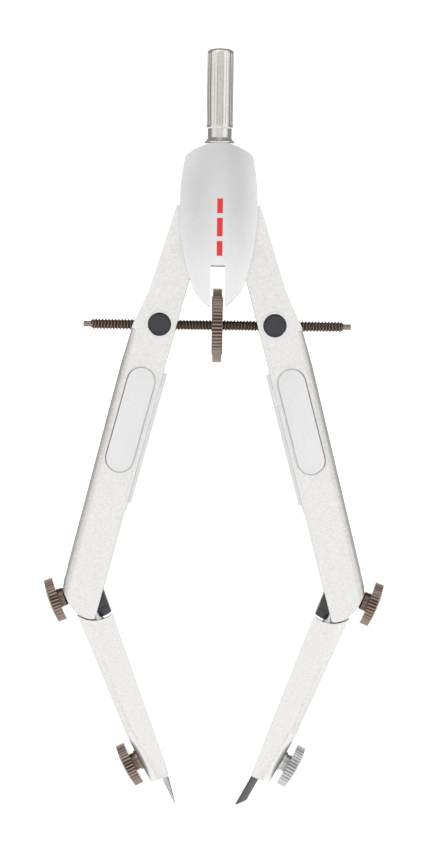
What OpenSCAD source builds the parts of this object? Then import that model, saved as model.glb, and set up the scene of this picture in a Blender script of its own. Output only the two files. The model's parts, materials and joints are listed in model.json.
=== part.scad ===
// Quick-set bow compass for technical drawing.
// Millimetres. X across, Y depth with the front at -Y, Z up along the handle.
// The origin is on the handle's axis at the lower end of the grip.
// Leg frames: u outward, v down the leg from its pivot, y depth.

/* [Handle] */
// Radius of the knurled grip
grip_r = 2.95; // [2.4:0.05:3.6]
// Length of the knurled grip
grip_len = 17.5; // [12:0.5:24]
// Radius of the neck under the grip
neck_r = 2.7; // [2.2:0.05:3.2]
// Level where the flared collar starts
neck_bottom = -1.96; // [-3:0.02:-1]
// Radius of the flared collar
collar_r = 3.4; // [2.8:0.05:4]
// Grooves around the grip
grip_grooves = 28; // [16:1:40]
// Width of each grip groove
grip_groove_w = 0.14; // [0.06:0.02:0.3]

/* [Head] */
// Level of the crown of the head shells
head_top = -3.26; // [-4:0.02:-2]
// Radius of the crown
crown_r = 11; // [9:0.5:14]
// Radius of the long side curves
side_r = 52.8; // [40:0.2:70]
// Level of the widest point
wide_z = -17; // [-19:0.5:-14]
// Half width at the widest point
half_wide = 8.5; // [7:0.1:10]
// Radius of the lower side curves
tail_r = 13.2; // [11:0.1:16]
// Half offset of the lower curve centres
tail_x = 5.86; // [4:0.02:8]
// Level of the lower curve centres
tail_z = -27.8; // [-30:0.1:-25]
// Inner face of the shells
shell_in = 3.7; // [3.5:0.05:4.2]
// Crown height of the shells
shell_out = 5.3; // [4.6:0.1:6.5]
// Dome radius across the shells
dome_r = 30; // [15:1:60]
// Dome radius along the shells
dome_long_r = 180; // [80:5:300]
// Lower end of the side walls
wall_bottom = -16.6; // [-18:0.1:-14]
// Thickness of the side walls
wall_t = 0.9; // [0.6:0.05:1.4]
// Half width of the wheel slot
slot_half = 1.52; // [1.2:0.02:2]
// Upper end of the wheel slot
slot_top = -29.8; // [-32:0.1:-27]

/* [Pivots] */
// Half distance between the leg pivots
pivot_x = 3.7; // [3:0.05:5]
// Level of the leg pivots
pivot_z = -11; // [-13:0.1:-9]
// Radius of the pivot pins
pivot_r = 1.2; // [0.8:0.05:1.6]
// Teeth on a full gear circle
gear_teeth = 16; // [12:1:24]
// Play between the gear flanks
gear_backlash = 0.1; // [0.04:0.01:0.2]
// Relief radius around each pivot
relief_r = 7.55; // [7:0.05:8]

/* [Upper legs] */
// Lean of each leg from the handle axis at rest
leg_tilt = 14.8; // [10:0.1:25]
// Half thickness of the legs
leg_y = 3.6; // [3:0.1:4.5]
// Inner edge of the legs
leg_in = -3.2; // [-4:0.1:-2.5]
// Wall of the leg channel
leg_wall = 1; // [0.8:0.05:1.4]
// Radius of the long outer edge
edge_r = 1.9; // [1:0.1:2.4]

/* [Swivels and spindle] */
// Swivel position across the leg
swivel_u = 0.4; // [0:0.05:1]
// Swivel position down the leg
swivel_v = 32.9; // [30:0.1:36]
// Swivel radius
swivel_r = 2.5; // [2:0.05:3]
// Outer radius of the swivel ring
ring_r = 3; // [2.7:0.05:3.4]
// Level of the spindle
spindle_z = -42.7; // [-45:0.1:-40]
// Spindle radius
spindle_r = 1.25; // [1:0.05:1.6]
// Half length of the threaded spindle
spindle_half = 27.5; // [24:0.1:32]
// End stop radius
stop_r = 0.63; // [0.5:0.01:0.9]
// End stop length
stop_len = 1.6; // [1:0.1:2.5]
// Centre wheel radius
wheel_r = 8.08; // [7:0.02:9]
// Centre wheel rim thickness
wheel_t = 2; // [1.5:0.1:2.6]
// Grooves around the wheel
wheel_grooves = 64; // [40:2:90]

/* [Levers] */
// Pad centre across the leg
pad_u = 0.92; // [0.5:0.02:1.4]
// Upper pad arc centre down the leg
pad_v0 = 45.9; // [44:0.1:48]
// Lower pad arc centre down the leg
pad_v1 = 63.1; // [60:0.1:66]
// Pad radius
pad_r = 2.95; // [2.5:0.05:3.4]
// Height of the pad face
pad_y = 4.3; // [3.8:0.05:5]
// Gap around the pad
pad_gap = 0.2; // [0.12:0.01:0.3]
// Lever pivot down the leg
lever_v = 48; // [47:0.1:50]
// Lever pivot depth
lever_y = -0.9; // [-1.2:0.05:-0.6]
// Lever pin radius
lever_pin_r = 0.6; // [0.4:0.05:0.8]

/* [Knees] */
// Knee position across the leg
knee_u = -1.4; // [-2:0.05:-1]
// Knee position down the leg
knee_v = 92.5; // [90:0.1:95]
// Bend of the left knee at rest
knee_left = 35.6; // [0:0.1:45]
// Bend of the right knee at rest
knee_right = 36.3; // [0:0.1:45]
// Leg end radius about the knee
leg_end_r = 5.95; // [5.5:0.05:6.5]
// Knuckle radius
knuckle_r = 5.75; // [5:0.05:6]
// Knuckle half thickness
knuckle_y = 2.5; // [2:0.05:3]
// Knee pin radius
knee_pin_r = 0.9; // [0.6:0.05:1.2]
// Stem position across the lower leg
stem_u = 1.3; // [1:0.05:1.6]
// Stem radius
stem_r = 1.3; // [1:0.05:1.6]

/* [Lower legs] */
// Half thickness of the lower legs
low_y = 3.4; // [3:0.1:4]
// Lower leg top radius about the knee
low_top_r = 6.3; // [6:0.05:7]
// Length from the knee to the lower end
low_len = 43.1; // [38:0.1:48]

/* [Thumbscrews] */
// Disc radius
disc_r = 4.8; // [4:0.1:6]
// Disc thickness
disc_t = 1.9; // [1.4:0.1:2.6]
// Ribs around a disc
disc_ribs = 40; // [24:2:60]
// Knee screw neck radius
neck_big_r = 2.05; // [1.6:0.05:2.4]
// Clamp screw neck radius
neck_small_r = 1.95; // [1.5:0.05:2.3]

/* [Points] */
// Needle radius
needle_r = 0.7; // [0.5:0.05:1]
// Needle tip below the knee
needle_tip = 49.8; // [47:0.1:53]
// Lead radius
lead_r = 0.85; // [0.7:0.05:1]
// Lead tip below the knee
lead_tip = 50.5; // [47:0.1:53]

/* [Hidden] */

// 0.05 running clearance on a radius
run = 0.05;
far = 100;
side_x = side_r - half_wide;
crown_z = head_top - crown_r;
// yoke plates
yoke_in = 2.5;
yoke_out = 3.65;
// tongue of each leg inside the head
tongue_y = 2.4;
tongue_r = 2.9;
// gear proportions
pitch_r = pivot_x;
gear_m = 2 * pitch_r / gear_teeth;
base_r = pitch_r * cos(20);
tip_r = pitch_r + 0.4;
root_r = pitch_r - 0.56;
tooth_half = (PI * gear_m / 2 - gear_backlash / 2) / 2 / pitch_r * 180 / PI + (tan(20) - 20 * PI / 180) * 180 / PI;
roll_max = sqrt(pow(tip_r / base_r, 2) - 1);
half_tooth = 180 / gear_teeth;
// leg outline
leg_pts = [[leg_in, 4], [leg_in, 99], [0, 99], [2.99, 96.6], [5.2, 94], [5.6, 91],
           [6.25, 44], [6.0, 34.5], [4.6, 26.2], [3.75, 6.8], [3.75, 4]];
channel_pts = [[-4, 12], [-4, 101], [4.7, 101], [4.6, 89], [5.15, 44], [4.9, 35], [3.5, 26.5], [2.9, 12]];
// lower leg outline in the knee frame
low_pts = [[-2.04, 2], [-1.5, low_len], [2.6, low_len], [4.1, 31], [5.13, 4.9], [5.2, 2]];
low_bend_v = 31;
// clamp screw seat on the lower leg
clamp_u = 3.27;
clamp_v = 37.7;
clamp_lean = 7.07;
// point axes
needle_u = -0.6;
needle_lean = -0.5;
lead_u = -0.62;
lead_lean = -7.5;

function flank(t) = base_r * sqrt(1 + t * t);
function flank_a(t) = tooth_half - (t * 180 / PI - atan(t));
function polar(r, a) = [r * cos(a), r * sin(a)];

tooth_pts = concat([polar(root_r - 0.3, -tooth_half)],
                   [for (k = [0:4]) polar(flank(roll_max * k / 4), -flank_a(roll_max * k / 4))],
                   [for (k = [4:-1:0]) polar(flank(roll_max * k / 4), flank_a(roll_max * k / 4))],
                   [polar(root_r - 0.3, tooth_half)]);

$fn = 64;

silver = [0.86, 0.85, 0.83];
satin = [0.93, 0.93, 0.93];
nickel = [0.72, 0.66, 0.6];
brown = [0.5, 0.42, 0.37];
black = [0.12, 0.12, 0.13];
steel = [0.6, 0.6, 0.62];

// ---- helpers ----
module slab(y0, y1) {
  translate([0, y1, 0]) rotate([90, 0, 0]) linear_extrude(y1 - y0) children();
}

module rod_y(r, y0, y1) {
  translate([0, y1, 0]) rotate([90, 0, 0]) cylinder(r = r, h = y1 - y0);
}

module rod_x(r, x0, x1) {
  translate([x0, 0, 0]) rotate([0, 90, 0]) cylinder(r = r, h = x1 - x0);
}

module right_side() {
  mirror([1, 0, 0]) children();
}

module at_leg() {
  translate([-pivot_x, 0, pivot_z]) rotate([0, 180 + leg_tilt, 0]) children();
}

module at_swivel() {
  at_leg() translate([swivel_u, 0, swivel_v]) rotate([0, -leg_tilt, 0]) children();
}

module at_knee(bend) {
  at_leg() translate([knee_u, 0, knee_v]) rotate([0, -bend, 0]) children();
}

// rounds both long edges of an outer side that runs from p0 to p1
module round_edge(p0, p1, half, r) {
  du = p1[0] - p0[0];
  dv = p1[1] - p0[1];
  translate([p0[0], 0, p0[1]]) rotate([0, atan2(du, dv), 0]) translate([0, 0, -0.2])
    for (s = [-1, 1])
      scale([1, s, 1])
        linear_extrude(sqrt(du * du + dv * dv) + 0.4)
          difference() {
            translate([-r, half - r]) square([r + 1, r + 1]);
            translate([-r, half - r]) circle(r);
          }
}

// V grooves around a rod on the Z axis
module v_grooves(n, r, z0, z1, w) {
  for (k = [0:n - 1])
    rotate([0, 0, (k + 0.5) * 360 / n]) translate([r, 0, z0]) rotate([0, 0, 45])
      translate([-w / 2, -w / 2, 0]) cube([w, w, z1 - z0]);
}

// ---- head ----
module handle() {
  color(nickel) difference() {
    rotate_extrude() polygon([[0, -3.2], [collar_r, -3.2], [collar_r, -2.9], [neck_r, neck_bottom], [neck_r, 0],
                              [grip_r, 0.15], [grip_r, grip_len - 0.7], [grip_r - 0.75, grip_len - 0.1],
                              [1.2, grip_len], [0, grip_len]]);
    v_grooves(grip_grooves, grip_r, 0.9, grip_len - 1.1, grip_groove_w);
    translate([0, 0, -4]) cylinder(r = 1.5, h = 12);
  }
}

module handle_stud() {
  color(steel) union() {
    translate([0, 0, -6.4]) cylinder(r = 1.5, h = 14);
    translate([0, 0, -4.6]) cylinder(r = 2.3, h = 1.4);
  }
}

module crown(r) {
  translate([0, crown_z]) circle(r);
  translate([-12, -60]) square([24, 60 + crown_z]);
}

module head_outline() {
  intersection() {
    translate([side_x, wide_z]) circle(side_r, $fn = 360);
    translate([-side_x, wide_z]) circle(side_r, $fn = 360);
    crown(crown_r);
    union() {
      translate([-12, tail_z]) square([24, 30]);
      intersection() {
        translate([-tail_x, tail_z]) circle(tail_r);
        translate([tail_x, tail_z]) circle(tail_r);
      }
    }
  }
}

module head_inner() {
  intersection() {
    translate([side_x, wide_z]) circle(side_r - wall_t, $fn = 360);
    translate([-side_x, wide_z]) circle(side_r - wall_t, $fn = 360);
    crown(crown_r - wall_t);
  }
}

module dome() {
  translate([0, dome_r - shell_out, wide_z]) rotate_extrude($fn = 256)
    intersection() {
      translate([dome_r - dome_long_r, 0]) circle(dome_long_r, $fn = 720);
      translate([0, -30]) square([dome_r, 60]);
    }
}

module shell() {
  difference() {
    intersection() {
      slab(-9, -0.02) head_outline();
      dome();
    }
    slab(-shell_in, 1) head_inner();
    translate([-12, -shell_in, -60]) cube([24, 10, 60 + wall_bottom]);
    translate([-slot_half, -9, -60]) cube([2 * slot_half, 10, 60 + slot_top]);
    translate([0, 0, -5.5]) cylinder(r = 2.35, h = 4);
    for (s = [-1, 1])
      translate([3.2 * s, 0, -5.7]) rod_y(0.8, -4.3, 0);
  }
}

module front_shell() {
  color(satin) shell();
}

module rear_shell() {
  color(satin) difference() {
    mirror([0, 1, 0]) shell();
    for (s = [-1, 1])
      translate([3.2 * s, 0, -5.7]) rod_y(0.8, 3, 9);
    for (s = [-1, 1])
      translate([3.2 * s, 0, -5.7]) rod_y(1.35, 4.2, 9);
  }
}

module head_yoke() {
  plate = [[-5.2, -5.4], [5.2, -5.4], [6.0, -7.2], [7.1, -14.5], [6.2, -15.8], [-6.2, -15.8], [-7.1, -14.5], [-6.0, -7.2]];
  color(steel) difference() {
    union() {
      slab(-yoke_out, -yoke_in) polygon(plate);
      slab(yoke_in, yoke_out) polygon(plate);
      translate([-5, -yoke_out, -6.6]) cube([10, 2 * yoke_out, 2]);
    }
    for (s = [-1, 1])
      translate([pivot_x * s, 0, pivot_z]) rod_y(pivot_r, -5, 5);
    for (s = [-1, 1])
      translate([3.2 * s, 0, -5.7]) rod_y(0.8, -5, 5);
    translate([0, 0, -8]) cylinder(r = 1.5, h = 6);
  }
}

module pivot_pins() {
  color(steel) for (s = [-1, 1])
    translate([pivot_x * s, 0, pivot_z]) rod_y(pivot_r, -yoke_out, yoke_out);
}

module shell_screws() {
  color(steel) for (s = [-1, 1])
    translate([3.2 * s, 0, -5.7]) difference() {
      union() {
        rod_y(0.8, -4.2, 4.3);
        rod_y(1.3, 4.2, 4.8);
      }
      translate([-2, 4.55, -0.15]) cube([4, 1, 0.3]);
    }
}

// ---- upper legs ----
module leg() {
  difference() {
    union() {
      difference() {
        slab(-leg_y, leg_y) polygon(leg_pts);
        slab(-leg_y - 1, leg_y + 1) circle(relief_r);
      }
      slab(-tongue_y, -0.03) polygon([[leg_in, 0], [-0.2, 0], [-0.2, 8.2], [leg_in, 8.2]]);
      slab(-tongue_y, -0.03) circle(tongue_r);
      slab(-0.1, tongue_y) polygon([[leg_in, 4.6], [-0.2, 4.6], [-0.2, 8.2], [leg_in, 8.2]]);
    }
    slab(-leg_y + leg_wall, leg_y - leg_wall) polygon(channel_pts);
    // leg end follows the knee
    slab(-6, 6) difference() {
      translate([-9, knee_v + 4.05]) square([20, 12]);
      translate([knee_u, knee_v]) circle(leg_end_r);
    }
    rod_y(pivot_r + run, -5, 5);
    // swivel seats
    translate([swivel_u, 0, swivel_v]) rod_y(ring_r, -5, 0);
    translate([swivel_u, 0, swivel_v]) rod_y(swivel_r + run, 0, 5);
    // spindle slot in the outer wall
    translate([2.5, -1.55, swivel_v - 0.9]) cube([5, 3.1, 6.6]);
    // window for the pad
    slab(-5, 0) {
      translate([pad_u, pad_v0]) circle(pad_r + pad_gap);
      translate([pad_u, pad_v1]) circle(pad_r + pad_gap);
      translate([pad_u - pad_r - pad_gap, pad_v0]) square([2 * (pad_r + pad_gap), pad_v1 - pad_v0]);
    }
    // knee screw slot through the outer corner
    translate([2, -2.3, 88.8]) cube([6, 4.6, 12]);
    // knee pin seats
    translate([knee_u, 0, knee_v]) rod_y(knee_pin_r, -3.2, 3.2);
    round_edge([6.37, 35.5], [5.53, 96.2], leg_y, edge_r);
  }
  // lug and outer seat of the lever pin
  difference() {
    union() {
      translate([-3.0, -leg_y + 0.3, lever_v - 1.1]) cube([0.6, leg_y - 0.5, 2.2]);
      translate([4.3, -leg_y + 0.8, lever_v - 1.1]) cube([1, leg_y - 1, 2.2]);
    }
    translate([0, lever_y, lever_v]) rod_x(lever_pin_r, -4, 7);
  }
}

module gear(turn) {
  translate([-pivot_x, 0, pivot_z]) difference() {
    slab(0.0, tongue_y) {
      circle(root_r);
      for (k = [-3:3])
        rotate(k * 360 / gear_teeth + turn) polygon(tooth_pts);
    }
    rod_y(pivot_r + run, -5, 5);
  }
}

module swivel_ring() {
  translate([swivel_u, 0, swivel_v]) difference() {
    rod_y(ring_r, -leg_y - 0.15, -leg_y + leg_wall);
    rod_y(swivel_r + run, -9, 0);
  }
}

module lever_pin() {
  translate([0, lever_y, lever_v]) rod_x(lever_pin_r, -3, 5.3);
}

module lever_spring() {
  translate([0, lever_y, lever_v]) {
    for (k = [0:5])
      translate([-0.4 + k * 0.38, 0, 0]) rotate([0, 90, 0]) rotate_extrude() translate([0.95, 0]) circle(0.2, $fn = 16);
    translate([-0.4, 0.75, 0]) rotate([-14, 0, 0]) cylinder(r = 0.2, h = 7, $fn = 16);
    translate([1.5, 0.95, 0]) rotate([-24, 0, 0]) cylinder(r = 0.2, h = 5.6, $fn = 16);
  }
}

module knee_pins() {
  translate([knee_u, 0, knee_v]) {
    rod_y(knee_pin_r, -3.2, -1.5);
    rod_y(knee_pin_r, 1.5, 3.2);
  }
}

// ---- swivels ----
module swivel_barrel() {
  difference() {
    rod_y(swivel_r, 0.1, leg_y);
    rod_x(spindle_r + 0.08, -5, 5);
  }
}

module half_nut() {
  difference() {
    union() {
      rod_y(swivel_r, -3.75, -0.1);
      rod_y(swivel_r - 0.35, -3.9, -0.1);
    }
    rod_x(spindle_r + 0.08, -5, 5);
    difference() {
      rod_y(swivel_r + 1, -2.0, -1.25);
      rod_y(swivel_r - 0.5, -2.1, -1.2);
    }
    // raised grip facet on the upper half of the face
    translate([-3, -4.2, -4]) rotate([-14, 0, 0]) cube([6, 0.5, 3.6]);
  }
}

// ---- levers ----
module lever() {
  difference() {
    union() {
      slab(-pad_y, -1.4) {
        translate([pad_u, pad_v0]) circle(pad_r);
        translate([pad_u, pad_v1]) circle(pad_r);
        translate([pad_u - pad_r, pad_v0]) square([2 * pad_r, pad_v1 - pad_v0]);
      }
      // web behind the leg face
      slab(-1.85, -1.4) polygon([[-4.1, 42.7], [3.3, 42.7], [3.3, 72], [-4.1, 72]]);
      // side flange that shows past the inner edge
      translate([-4.1, -1.85, 42.7]) cube([0.75, 3.6, 22.3]);
      translate([-3.35, 0, 0]) rotate([0, 0, 0]) translate([0, -1.85, 65]) rotate([90, 0, 180])
        linear_extrude(3.6) polygon([[0, 0], [0.75, 0], [0.12, 9], [0, 9]]);
      // fork arm
      slab(-1.85, -1.4) polygon([[-1.2, 43], [2.0, 43], [2.4, 37], [3.5, 35.5], [3.5, 31.8], [2.45, 31.8],
                                 [2.45, 35.6], [-1.65, 35.6], [-1.65, 31.8], [-2.7, 31.8], [-2.7, 35.5], [-1.6, 37]]);
      // lugs on the lever pin
      for (u = [-1.9, 2.3])
        translate([u, -1.6, lever_v - 1.1]) cube([0.8, 2.0, 2.2]);
    }
    translate([0, lever_y, lever_v]) rod_x(lever_pin_r + run, -2.2, 3.9);
    // room for the leg's own lug and the coil
    translate([-3.2, -2.4, lever_v - 1.7]) cube([1.0, 4, 3.4]);
    translate([-0.9, -2.4, lever_v - 1.5]) cube([2.8, 3.4, 3.0]);
    translate([-3.35, -2.6, lever_v - 1.7]) cube([0.3, 2.9, 3.4]);
  }
}

// ---- knees ----
module knuckle() {
  difference() {
    slab(-knuckle_y, knuckle_y) intersection() {
      circle(knuckle_r);
      translate([-2.04, -8]) square([6.24, 16]);
    }
    rod_y(knee_pin_r + run, -3, -1.3);
    rod_y(knee_pin_r + run, 1.3, 3);
    translate([stem_u, 0, -4.2]) cylinder(r = stem_r + run, h = 12);
    translate([0, 0, -1.15]) rod_x(1.3, stem_u, 6);
    // arch window over the stem
    translate([stem_u, 0, 5.6]) rod_y(1.5, -4, -1);
    translate([stem_u - 1.5, -4, 5.6]) cube([3, 3, 3]);
    translate([-3, -knuckle_y - 0.1, 3.8]) cube([3.0, 0.3, 0.22]);
  }
}

module disc(ribs) {
  difference() {
    union() {
      cylinder(r = disc_r, h = disc_t);
      translate([0, 0, disc_t]) cylinder(r1 = disc_r - 0.5, r2 = disc_r - 1.6, h = 0.35);
    }
    v_grooves(ribs, disc_r, -0.1, disc_t + 0.1, 0.36);
  }
}

module knee_screw() {
  translate([0, 0, -1.15]) {
    rod_x(1.25, 2.7, 6);
    translate([5.9, 0, 0]) rotate([0, 90, 0]) cylinder(r1 = 1.5, r2 = neck_big_r, h = 0.6);
    rod_x(neck_big_r, 6.5, 7.6);
    translate([7.6, 0, 0]) rotate([0, 90, 0]) disc(disc_ribs);
  }
}

// ---- lower legs ----
module lower_leg(point_r, point_u, point_lean, top_v) {
  difference() {
    slab(-low_y, low_y) difference() {
      polygon(low_pts);
      circle(low_top_r);
    }
    translate([stem_u, 0, 4]) cylinder(r = stem_r, h = 12.2);
    translate([point_u, 0, low_len]) rotate([0, point_lean, 0]) translate([0, 0, top_v - low_len]) cylinder(r = point_r + run, h = 30);
    translate([clamp_u, 0, clamp_v]) rotate([0, -clamp_lean, 0]) rod_x(1.05, -3.3, 3);
    round_edge([5.19, 3.4], [4.1, 31], low_y, edge_r);
    round_edge([4.1, 31], [2.6, low_len], low_y, edge_r - 0.2);
  }
}

module stem() {
  translate([stem_u, 0, -3.5]) cylinder(r = stem_r, h = 19.5);
}

module clamp_screw(depth) {
  translate([clamp_u, 0, clamp_v]) rotate([0, -clamp_lean, 0]) {
    rod_x(1.0, -depth, 0.2);
    rod_x(neck_small_r, 0.02, 1.5);
    rod_x(neck_small_r + 0.35, 0.02, 0.5);
    translate([1.45, 0, 0]) rotate([0, 90, 0]) disc(disc_ribs);
  }
}

module needle_point() {
  translate([needle_u, 0, low_len]) rotate([0, needle_lean, 0]) {
    translate([0, 0, -10]) cylinder(r = needle_r, h = 10.9);
    translate([0, 0, 0.9]) cylinder(r1 = needle_r, r2 = 0.06, h = needle_tip - low_len - 0.9);
  }
}

module lead_point() {
  difference() {
    translate([lead_u, 0, low_len]) rotate([0, lead_lean, 0]) translate([0, 0, -12]) cylinder(r = lead_r, h = 12 + 7.6);
    // chisel that leaves the tip on the inner side
    translate([-2.45, -3, lead_tip]) rotate([0, 45, 0]) translate([0, 0, 0]) cube([8, 6, 8]);
  }
}

// ---- sub-parts, left ----
module left_leg() { color(silver) at_leg() leg(); }
module left_gear() { color(steel) gear(0); }
module left_ring() { color(satin) at_leg() swivel_ring(); }
module left_lever_pin() { color(steel) at_leg() lever_pin(); }
module left_lever_spring() { color(steel) at_leg() lever_spring(); }
module left_knee_pins() { color(steel) at_leg() knee_pins(); }
module left_swivel_barrel() { color(black) at_swivel() swivel_barrel(); }
module left_half_nut() { color(black) at_swivel() half_nut(); }
module left_lever() { color(satin) at_leg() lever(); }
module left_knuckle() { color(black) at_knee(knee_left) knuckle(); }
module left_knee_screw() { color(brown) at_knee(knee_left) knee_screw(); }
module left_lower_leg() { color(silver) at_knee(knee_left) lower_leg(needle_r, needle_u, needle_lean, 28.5); }
module left_stem() { color(satin) at_knee(knee_left) stem(); }
module left_clamp_screw() { color(brown) at_knee(knee_left) clamp_screw(2.9); }
module needle() { color(steel) at_knee(knee_left) needle_point(); }

// ---- sub-parts, right ----
module right_leg() { color(silver) right_side() at_leg() leg(); }
module right_gear() { color(steel) right_side() gear(half_tooth); }
module right_ring() { color(satin) right_side() at_leg() swivel_ring(); }
module right_lever_pin() { color(steel) right_side() at_leg() lever_pin(); }
module right_lever_spring() { color(steel) right_side() at_leg() lever_spring(); }
module right_knee_pins() { color(steel) right_side() at_leg() knee_pins(); }
module right_swivel_barrel() { color(black) right_side() at_swivel() swivel_barrel(); }
module right_half_nut() { color(black) right_side() at_swivel() half_nut(); }
module right_lever() { color(satin) right_side() at_leg() lever(); }
module right_knuckle() { color(black) right_side() at_knee(knee_right) knuckle(); }
module right_knee_screw() { color(brown) right_side() at_knee(knee_right) knee_screw(); }
module right_lower_leg() { color(silver) right_side() at_knee(knee_right) lower_leg(lead_r, lead_u, lead_lean, 26); }
module right_stem() { color(satin) right_side() at_knee(knee_right) stem(); }
module right_clamp_screw() { color(satin) right_side() at_knee(knee_right) clamp_screw(2.0); }
module lead() { color(black) right_side() at_knee(knee_right) lead_point(); }

// ---- spindle ----
module spindle_end_stops() {
  color(brown) translate([0, 0, spindle_z]) {
    rod_x(stop_r, -spindle_half - stop_len, -spindle_half - 0.03);
    rod_x(stop_r, spindle_half + 0.03, spindle_half + stop_len);
  }
}

module spindle() {
  color(brown) translate([0, 0, spindle_z]) rod_x(spindle_r, -spindle_half, spindle_half);
}

module centre_wheel() {
  color(brown) translate([0, 0, spindle_z]) rotate([0, 90, 0]) difference() {
    union() {
      translate([0, 0, -wheel_t / 2]) cylinder(r = wheel_r, h = wheel_t);
      translate([0, 0, -wheel_t / 2 - 0.2]) cylinder(r = wheel_r - 1.6, h = wheel_t + 0.4);
    }
    v_grooves(wheel_grooves, wheel_r, -wheel_t, wheel_t, 0.34);
    translate([0, 0, -5]) cylinder(r = spindle_r, h = 10);
  }
}

handle();
handle_stud();
head_yoke();
front_shell();
rear_shell();
pivot_pins();
shell_screws();
left_leg();
left_gear();
left_ring();
left_lever_pin();
left_lever_spring();
left_knee_pins();
left_swivel_barrel();
left_half_nut();
left_lever();
left_knuckle();
left_knee_screw();
left_lower_leg();
left_stem();
left_clamp_screw();
needle();
right_leg();
right_gear();
right_ring();
right_lever_pin();
right_lever_spring();
right_knee_pins();
right_swivel_barrel();
right_half_nut();
right_lever();
right_knuckle();
right_knee_screw();
right_lower_leg();
right_stem();
right_clamp_screw();
lead();
spindle_end_stops();
spindle();
centre_wheel();
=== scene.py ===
import json
import math
import bpy
from mathutils import Matrix, Vector


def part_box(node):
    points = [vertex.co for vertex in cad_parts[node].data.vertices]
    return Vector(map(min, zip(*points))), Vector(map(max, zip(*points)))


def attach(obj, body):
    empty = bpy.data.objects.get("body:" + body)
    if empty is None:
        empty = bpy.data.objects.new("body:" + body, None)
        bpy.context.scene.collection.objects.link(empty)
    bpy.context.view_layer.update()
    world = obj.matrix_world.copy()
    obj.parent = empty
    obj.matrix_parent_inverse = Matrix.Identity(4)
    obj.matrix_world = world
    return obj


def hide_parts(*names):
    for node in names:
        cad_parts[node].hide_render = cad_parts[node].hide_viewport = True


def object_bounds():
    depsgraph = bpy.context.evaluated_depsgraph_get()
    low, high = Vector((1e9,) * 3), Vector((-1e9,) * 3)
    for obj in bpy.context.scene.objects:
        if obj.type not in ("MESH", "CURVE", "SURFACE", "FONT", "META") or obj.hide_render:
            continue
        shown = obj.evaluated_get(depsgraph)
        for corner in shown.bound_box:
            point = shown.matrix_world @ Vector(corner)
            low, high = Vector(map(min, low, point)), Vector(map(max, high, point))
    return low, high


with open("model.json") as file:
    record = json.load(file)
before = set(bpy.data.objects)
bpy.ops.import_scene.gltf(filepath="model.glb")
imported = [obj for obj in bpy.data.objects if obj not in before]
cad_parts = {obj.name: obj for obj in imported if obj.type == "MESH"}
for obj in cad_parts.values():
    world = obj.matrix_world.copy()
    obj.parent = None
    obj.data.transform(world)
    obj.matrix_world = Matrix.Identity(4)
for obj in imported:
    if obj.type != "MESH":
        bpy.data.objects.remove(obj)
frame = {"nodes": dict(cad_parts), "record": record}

CAD_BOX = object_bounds()
MM = 0.001

# ---- camera ----
CAM_DISTANCE = 800 * MM
CAM_AIM = Vector((-0.18 * MM, 0, -64.9 * MM))
CAM_ROLL = math.radians(0.75)
CAM_LENS = 154.9
CAM_SENSOR_HEIGHT = 36
CAM_CLIP = (0.01, 20)

# ---- floor and backdrop, in metres ----
FLOOR_GAP = 6 * MM
FLOOR_HALF_WIDTH = 1.8
FLOOR_FRONT = 3.5
FLOOR_BACK = 3.6
FLOOR_GLOW = 0.62
BACKDROP_TOP = 2.5
BACKDROP_RADIUS = 0.3
BACKDROP_STEPS = 12

# ---- light ----
# grey of the surroundings from behind the object (0) to behind the camera (1)
SKY_GREYS = [(0.0, 0.45), (0.40, 0.24), (0.55, 0.28), (0.68, 1.05), (0.90, 1.0), (0.98, 0.62), (1.0, 1.0)]
# name, place, size and power of each lamp
LAMPS = [
    ("key", (-0.35, -0.75, 0.45), (0.5, 0.5), 0.3),
    ("fill", (0.6, -0.6, 0.0), (0.5, 0.8), 0.2),
]

# ---- spindle ----
THREAD_PITCH = 0.707 * MM
THREAD_OUT = 1.25 * MM
THREAD_ROOT = 0.84 * MM
THREAD_RINGS_PER_PITCH = 10
THREAD_SEGMENTS = 24
# above 1 the crests are cut flat
THREAD_FLATTEN = 1.15
# radius of each end face, as a share of the root's
SPINDLE_END_SHARE = 0.8

# ---- handle ----
GRIP_RADIUS = 2.95 * MM
NECK_RADIUS = 2.7 * MM
GRIP_FLUTES = 28
FLUTE_STEPS = 6
FLUTE_DEPTH = 0.16 * MM

# ---- printed mark on the head ----
MARK_X = 0.3 * MM
MARK_HALF = 0.62 * MM
MARK_STEPS = 8
# top and bottom of each dash along the handle's axis, in mm
MARK_SPANS = [(-15.4, -18.6), (-19.6, -23.6), (-24.6, -27.8)]
INK_THICKNESS = 0.02 * MM
# the head shell's dome: its radii across and along, its front and its widest height
DOME_ACROSS = 30 * MM
DOME_ALONG = 180 * MM
DOME_FRONT = 5.3 * MM
DOME_WIDEST = -17 * MM

# ---- edges of the CAD nodes ----
BEVEL_SEGMENTS = 2
BEVEL_ANGLE = 35
CAD_SHARP_ANGLE = 30
HANDLE_SHARP_ANGLE = 28
# bevel width in mm, by the end of the node's name
EDGE_WIDTHS = {"leg": 0.28, "lower_leg": 0.3, "shell": 0.25, "lever": 0.22, "screw": 0.06, "wheel": 0.06,
               "knuckle": 0.3, "half_nut": 0.15, "ring": 0.1}
OTHER_EDGE_WIDTH = 0.04

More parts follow.
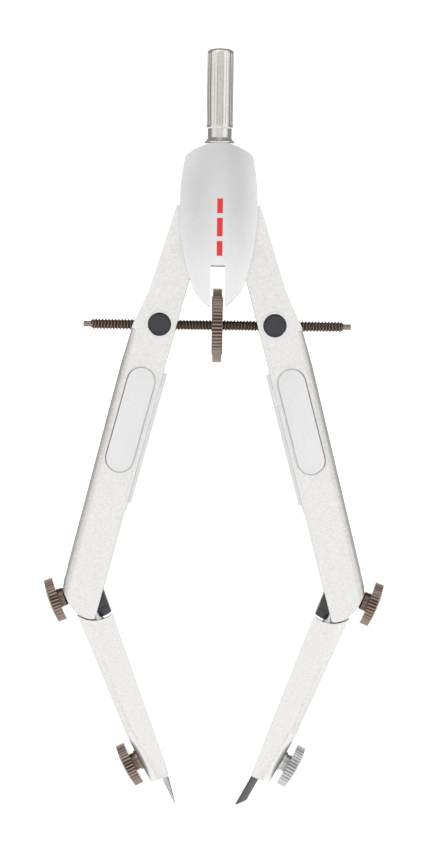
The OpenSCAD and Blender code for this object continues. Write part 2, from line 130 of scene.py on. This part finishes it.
# ---- materials ----
# dark and light of the grain, metallic, roughness, grain spread, grain scale, bump strength, strength of
# the painted edge highlight
LOOKS = {
    "grained_silver": ((0.56, 0.54, 0.51), (0.80, 0.78, 0.75), 0.75, 0.42, 0.22, 2600, 0.55, 0.4),
    "satin_silver": ((0.70, 0.70, 0.70), (0.80, 0.80, 0.80), 0.95, 0.26, 0.3, 3600, 0.15, 0.2),
    "nickel": ((0.66, 0.64, 0.61), (0.82, 0.80, 0.77), 0.95, 0.2, 0.3, 3000, 0.15, 0.3),
    "steel": ((0.34, 0.34, 0.34), (0.50, 0.50, 0.50), 1.0, 0.22, 0.3, 3000, 0.2, 0.3),
    "brown_nickel": ((0.10, 0.070, 0.055), (0.22, 0.165, 0.135), 1.0, 0.16, 0.28, 2400, 0.25, 0.5),
    "black": ((0.008, 0.008, 0.010), (0.022, 0.022, 0.026), 0.1, 0.38, 0.3, 3000, 0.4, 0.3),
    "graphite": ((0.05, 0.05, 0.055), (0.13, 0.13, 0.14), 0.4, 0.45, 0.3, 3000, 0.4, 0.2),
}
INK_LOOK = ((0.62, 0.02, 0.02), (0.78, 0.03, 0.03), 0.0, 0.45, 0.3, 3000, 0.1, 0.0)
FLOOR_LOOK = ((0.90, 0.90, 0.90), (0.93, 0.93, 0.93), 0.0, 0.9, 0.3, 40, 0.0, 0.0)
# this screw is shown in another finish than its slot's
FINISH_OVERRIDES = {"right_clamp_screw": "steel"}

GRAIN_DETAIL = 3.0
GRAIN_ROUGHNESS = 0.6
CLOUD_DETAIL = 4.0
CLOUD_TO_GRAIN = 22
GLOSS_RANGE = (0.8, 1.2)
RELIEF_DEPTH = 0.03 * MM
# painted highlight on convex edges and thread crests: the pointiness range over which it fades in, and how
# much lighter its colour is
HIGHLIGHT_POINTINESS = (0.51, 0.60)
HIGHLIGHT_GAIN = 1.5
HIGHLIGHT_LIFT = 0.08
# colour sockets of the mix node, by index because their names repeat
MIX_A = 6
MIX_B = 7
MIX_RESULT = 2


# ================= materials =================
def socket(node, name, value):
    node.inputs[name].default_value = value


def metal(name, dark, light, metallic, rough, grain, grain_size, bump, edge_highlight):
    """A metal or plastic with a fine grain, uneven gloss and a painted highlight that lightens convex
    edges and crests.
    """
    mat = bpy.data.materials.new(name)
    mat.use_nodes = True
    nt = mat.node_tree
    bsdf = nt.nodes["Principled BSDF"]
    socket(bsdf, "Metallic", metallic)
    coord = nt.nodes.new("ShaderNodeTexCoord")

    fine = nt.nodes.new("ShaderNodeTexNoise")
    socket(fine, "Scale", grain_size)
    socket(fine, "Detail", GRAIN_DETAIL)
    socket(fine, "Roughness", GRAIN_ROUGHNESS)
    nt.links.new(coord.outputs["Object"], fine.inputs["Vector"])

    broad = nt.nodes.new("ShaderNodeTexNoise")
    socket(broad, "Scale", grain_size / CLOUD_TO_GRAIN)
    socket(broad, "Detail", CLOUD_DETAIL)
    nt.links.new(coord.outputs["Object"], broad.inputs["Vector"])

    colour = nt.nodes.new("ShaderNodeValToRGB")
    colour.color_ramp.elements[0].position = 0.5 - grain
    colour.color_ramp.elements[1].position = 0.5 + grain
    colour.color_ramp.elements[0].color = (*dark, 1)
    colour.color_ramp.elements[1].color = (*light, 1)
    nt.links.new(fine.outputs["Fac"], colour.inputs["Fac"])

    # painted highlight: where pointiness is high (convex edges, thread crests) the colour is mixed towards
    # a lighter one
    edge = nt.nodes.new("ShaderNodeNewGeometry")
    edge_ramp = nt.nodes.new("ShaderNodeMapRange")
    socket(edge_ramp, "From Min", HIGHLIGHT_POINTINESS[0])
    socket(edge_ramp, "From Max", HIGHLIGHT_POINTINESS[1])
    socket(edge_ramp, "To Min", 0.0)
    socket(edge_ramp, "To Max", edge_highlight)
    nt.links.new(edge.outputs["Pointiness"], edge_ramp.inputs["Value"])
    highlighted = nt.nodes.new("ShaderNodeMix")
    highlighted.data_type = "RGBA"
    socket(highlighted, MIX_B, (*[min(1.0, c * HIGHLIGHT_GAIN + HIGHLIGHT_LIFT) for c in light], 1))
    nt.links.new(edge_ramp.outputs["Result"], highlighted.inputs[0])
    nt.links.new(colour.outputs["Color"], highlighted.inputs[MIX_A])
    nt.links.new(highlighted.outputs[MIX_RESULT], bsdf.inputs["Base Color"])

    gloss = nt.nodes.new("ShaderNodeMapRange")
    socket(gloss, "To Min", rough * GLOSS_RANGE[0])
    socket(gloss, "To Max", rough * GLOSS_RANGE[1])
    nt.links.new(broad.outputs["Fac"], gloss.inputs["Value"])
    nt.links.new(gloss.outputs["Result"], bsdf.inputs["Roughness"])

    relief = nt.nodes.new("ShaderNodeBump")
    socket(relief, "Strength", bump)
    socket(relief, "Distance", RELIEF_DEPTH)
    nt.links.new(fine.outputs["Fac"], relief.inputs["Height"])
    nt.links.new(relief.outputs["Normal"], bsdf.inputs["Normal"])
    return mat


def glowing(mat, strength):
    bsdf = mat.node_tree.nodes["Principled BSDF"]
    socket(bsdf, "Emission Color", (1, 1, 1, 1))
    socket(bsdf, "Emission Strength", strength)
    return mat


MATERIALS = {name: metal(name, *look) for name, look in LOOKS.items()}
MARK_INK = metal("mark_ink", *INK_LOOK)
FLOOR_WHITE = glowing(metal("floor_white", *FLOOR_LOOK), FLOOR_GLOW)


# ================= mesh helpers =================
def make_mesh(name, verts, faces, material):
    mesh = bpy.data.meshes.new(name)
    mesh.from_pydata(verts, [], faces)
    mesh.validate()
    obj = bpy.data.objects.new(name, mesh)
    bpy.context.scene.collection.objects.link(obj)
    obj.data.materials.append(material)
    return obj


def ring_faces(rings, segments):
    """Quads between rings of the same number of points, closed at both ends."""
    faces = []
    for i in range(rings - 1):
        low, high = i * segments, (i + 1) * segments
        for j in range(segments):
            k = (j + 1) % segments
            faces.append((low + j, low + k, high + k, high + j))
    faces.append(tuple(range(segments))[::-1])
    last = (rings - 1) * segments
    faces.append(tuple(last + j for j in range(segments)))
    return faces


def soften(obj, width):
    bevel = obj.modifiers.new("edges", "BEVEL")
    bevel.width = width
    bevel.segments = BEVEL_SEGMENTS
    bevel.limit_method = "ANGLE"
    bevel.angle_limit = math.radians(BEVEL_ANGLE)
    bevel.harden_normals = False


def shade_by_angle(obj, angle):
    obj.data.shade_smooth()
    obj.data.set_sharp_from_angle(angle=math.radians(angle))


# ================= spindle with its two threads =================
def thread_radius(x, turn):
    """Left-hand thread on the left, right-hand thread on the right."""
    hand = 1 if x > 0 else -1
    phase = (x / THREAD_PITCH - hand * turn) % 1.0
    crest = abs(2 * phase - 1)
    return THREAD_ROOT + (THREAD_OUT - THREAD_ROOT) * min(1.0, THREAD_FLATTEN * crest)


def build_spindle():
    low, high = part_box("spindle")
    centre_z = (low[2] + high[2]) / 2
    length = high[0] - low[0]
    rings = int(length / THREAD_PITCH * THREAD_RINGS_PER_PITCH) + 1
    verts = []
    for i in range(rings):
        x = low[0] + length * i / (rings - 1)
        end_gap = min(x - low[0], high[0] - x)
        for j in range(THREAD_SEGMENTS):
            turn = j / THREAD_SEGMENTS
            r = min(thread_radius(x, turn), THREAD_ROOT * SPINDLE_END_SHARE + end_gap)
            a = 2 * math.pi * turn
            verts.append((x, r * math.cos(a), centre_z + r * math.sin(a)))
    obj = make_mesh("spindle_thread", verts, ring_faces(rings, THREAD_SEGMENTS), MATERIALS["brown_nickel"])
    obj.data.shade_smooth()
    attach(obj, "spindle")
    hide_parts("spindle")


# ================= handle =================
def handle_profile(low, high):
    """Rings from the collar up: height, radius, and whether the flutes are cut there."""
    foot, top, collar = low[2], high[2], high[0]
    flared_collar = [(foot, collar - 0.15 * MM, False), (foot + 0.08 * MM, collar, False),
                     (foot + 0.35 * MM, collar, False), (-2.3 * MM, GRIP_RADIUS, False)]
    neck = [(z, NECK_RADIUS, False) for z in (-1.96 * MM, -0.15 * MM, 0)]
    lower_rim = [(0.05 * MM, GRIP_RADIUS - 0.12 * MM, False), (0.25 * MM, GRIP_RADIUS, False),
                 (0.8 * MM, GRIP_RADIUS, False)]
    fluted_grip = [(z, GRIP_RADIUS, True) for z in (1.1 * MM, 6 * MM, 11 * MM, top - 1.4 * MM)]
    rounded_end = [(top - 1.1 * MM, GRIP_RADIUS, False), (top - 0.75 * MM, GRIP_RADIUS, False),
                   (top - 0.5 * MM, GRIP_RADIUS - 0.12 * MM, False),
                   (top - 0.2 * MM, GRIP_RADIUS - 0.5 * MM, False),
                   (top - 0.05 * MM, GRIP_RADIUS - 1.1 * MM, False), (top, GRIP_RADIUS - 1.9 * MM, False)]
    return flared_collar + neck + lower_rim + fluted_grip + rounded_end


def build_handle():
    profile = handle_profile(*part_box("handle"))
    segments = GRIP_FLUTES * FLUTE_STEPS
    verts = []
    for z, r, fluted in profile:
        for j in range(segments):
            cut = FLUTE_DEPTH if fluted and j % FLUTE_STEPS == 0 else 0.0
            a = 2 * math.pi * j / segments
            verts.append(((r - cut) * math.cos(a), (r - cut) * math.sin(a), z))
    obj = make_mesh("handle_turned", verts, ring_faces(len(profile), segments), MATERIALS["nickel"])
    shade_by_angle(obj, HANDLE_SHARP_ANGLE)
    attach(obj, "head")
    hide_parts("handle")


# ================= printed mark =================
def dome_y(x, z):
    """Front surface of the head shell, lifted by the thickness of the ink."""
    radius = DOME_ACROSS - DOME_ALONG + math.sqrt(DOME_ALONG ** 2 - (z - DOME_WIDEST) ** 2)
    return DOME_ACROSS - DOME_FRONT - math.sqrt(radius ** 2 - x ** 2) - INK_THICKNESS


def build_mark():
    verts, faces = [], []
    columns = (MARK_X - MARK_HALF, MARK_X, MARK_X + MARK_HALF)
    for top, bottom in MARK_SPANS:
        start = len(verts)
        for i in range(MARK_STEPS + 1):
            z = (top + (bottom - top) * i / MARK_STEPS) * MM
            for x in columns:
                verts.append((x, dome_y(x, z), z))
        for i in range(MARK_STEPS):
            for j in range(len(columns) - 1):
                a = start + i * len(columns) + j
                b = a + len(columns)
                faces.append((a, b, b + 1, a + 1))
    obj = make_mesh("printed_mark", verts, faces, MARK_INK)
    obj.data.shade_smooth()
    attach(obj, "head")


# ================= CAD nodes shown as they are =================
def edge_width(node):
    for key in sorted(EDGE_WIDTHS, key=len, reverse=True):
        if node.endswith(key):
            return EDGE_WIDTHS[key] * MM
    return OTHER_EDGE_WIDTH * MM


def dress_cad_nodes(replaced):
    slots = {s["node"]: s["material_slot"] for s in frame["record"]["subparts"]}
    for name, obj in frame["nodes"].items():
        if name in replaced:
            continue
        obj.data.materials.clear()
        obj.data.materials.append(MATERIALS[FINISH_OVERRIDES.get(name, slots[name])])
        shade_by_angle(obj, CAD_SHARP_ANGLE)
        soften(obj, edge_width(name))


# ================= stage, light and camera =================
def area_light(name, place, aim, size, power):
    data = bpy.data.lights.new(name, "AREA")
    data.shape = "RECTANGLE"
    data.size, data.size_y = size
    data.energy = power
    lamp = bpy.data.objects.new(name, data)
    bpy.context.scene.collection.objects.link(lamp)
    lamp.location = place
    lamp.rotation_euler = (Vector(aim) - Vector(place)).to_track_quat("-Z", "Y").to_euler()


def build_stage():
    """A floor that bends up into a backdrop."""
    half = FLOOR_HALF_WIDTH
    z = CAD_BOX[0][2] - FLOOR_GAP
    edges = [(-FLOOR_FRONT, z), (FLOOR_BACK, z)]
    for i in range(1, BACKDROP_STEPS + 1):
        a = math.pi / 2 * i / BACKDROP_STEPS
        edges.append((FLOOR_BACK + BACKDROP_RADIUS * math.sin(a), z + BACKDROP_RADIUS * (1 - math.cos(a))))
    edges.append((FLOOR_BACK + BACKDROP_RADIUS, BACKDROP_TOP))
    verts = [(x, y, h) for y, h in edges for x in (-half, half)]
    faces = [(2 * i, 2 * i + 1, 2 * i + 3, 2 * i + 2) for i in range(len(edges) - 1)]
    floor = make_mesh("floor", verts, faces, FLOOR_WHITE)
    floor.data.shade_smooth()


def build_light():
    world = bpy.data.worlds.new("studio")
    bpy.context.scene.world = world
    world.use_nodes = True
    nt = world.node_tree
    back = nt.nodes["Background"]
    socket(back, "Strength", 1.0)
    coord = nt.nodes.new("ShaderNodeTexCoord")
    axes = nt.nodes.new("ShaderNodeSeparateXYZ")
    nt.links.new(coord.outputs["Generated"], axes.inputs["Vector"])
    front = nt.nodes.new("ShaderNodeMapRange")
    socket(front, "From Min", 1.0)
    socket(front, "From Max", -1.0)
    nt.links.new(axes.outputs["Y"], front.inputs["Value"])
    ramp = nt.nodes.new("ShaderNodeValToRGB")
    stops = ramp.color_ramp.elements
    for place, grey in SKY_GREYS[1:-1]:
        stops.new(place).color = (grey, grey, grey, 1)
    first_grey, last_grey = SKY_GREYS[0][1], SKY_GREYS[-1][1]
    stops[0].color = (first_grey, first_grey, first_grey, 1)
    stops[-1].color = (last_grey, last_grey, last_grey, 1)
    nt.links.new(front.outputs["Result"], ramp.inputs["Fac"])
    nt.links.new(ramp.outputs["Color"], back.inputs["Color"])
    middle = (0, 0, CAM_AIM.z)
    for name, place, size, power in LAMPS:
        area_light(name, place, middle, size, power)


def build_camera():
    data = bpy.data.cameras.new("camera")
    data.sensor_fit = "VERTICAL"
    data.sensor_height = CAM_SENSOR_HEIGHT
    data.lens = CAM_LENS
    data.clip_start, data.clip_end = CAM_CLIP
    cam = bpy.data.objects.new("camera", data)
    bpy.context.scene.collection.objects.link(cam)
    cam.matrix_world = (Matrix.Translation(CAM_AIM + Vector((0, -CAM_DISTANCE, 0)))
                        @ Matrix.Rotation(math.pi / 2, 4, "X") @ Matrix.Rotation(CAM_ROLL, 4, "Z"))
    bpy.context.scene.camera = cam


build_spindle()
build_handle()
build_mark()
dress_cad_nodes({"spindle", "handle"})
build_stage()
build_light()
build_camera()
bpy.context.scene.view_settings.view_transform = "Standard"
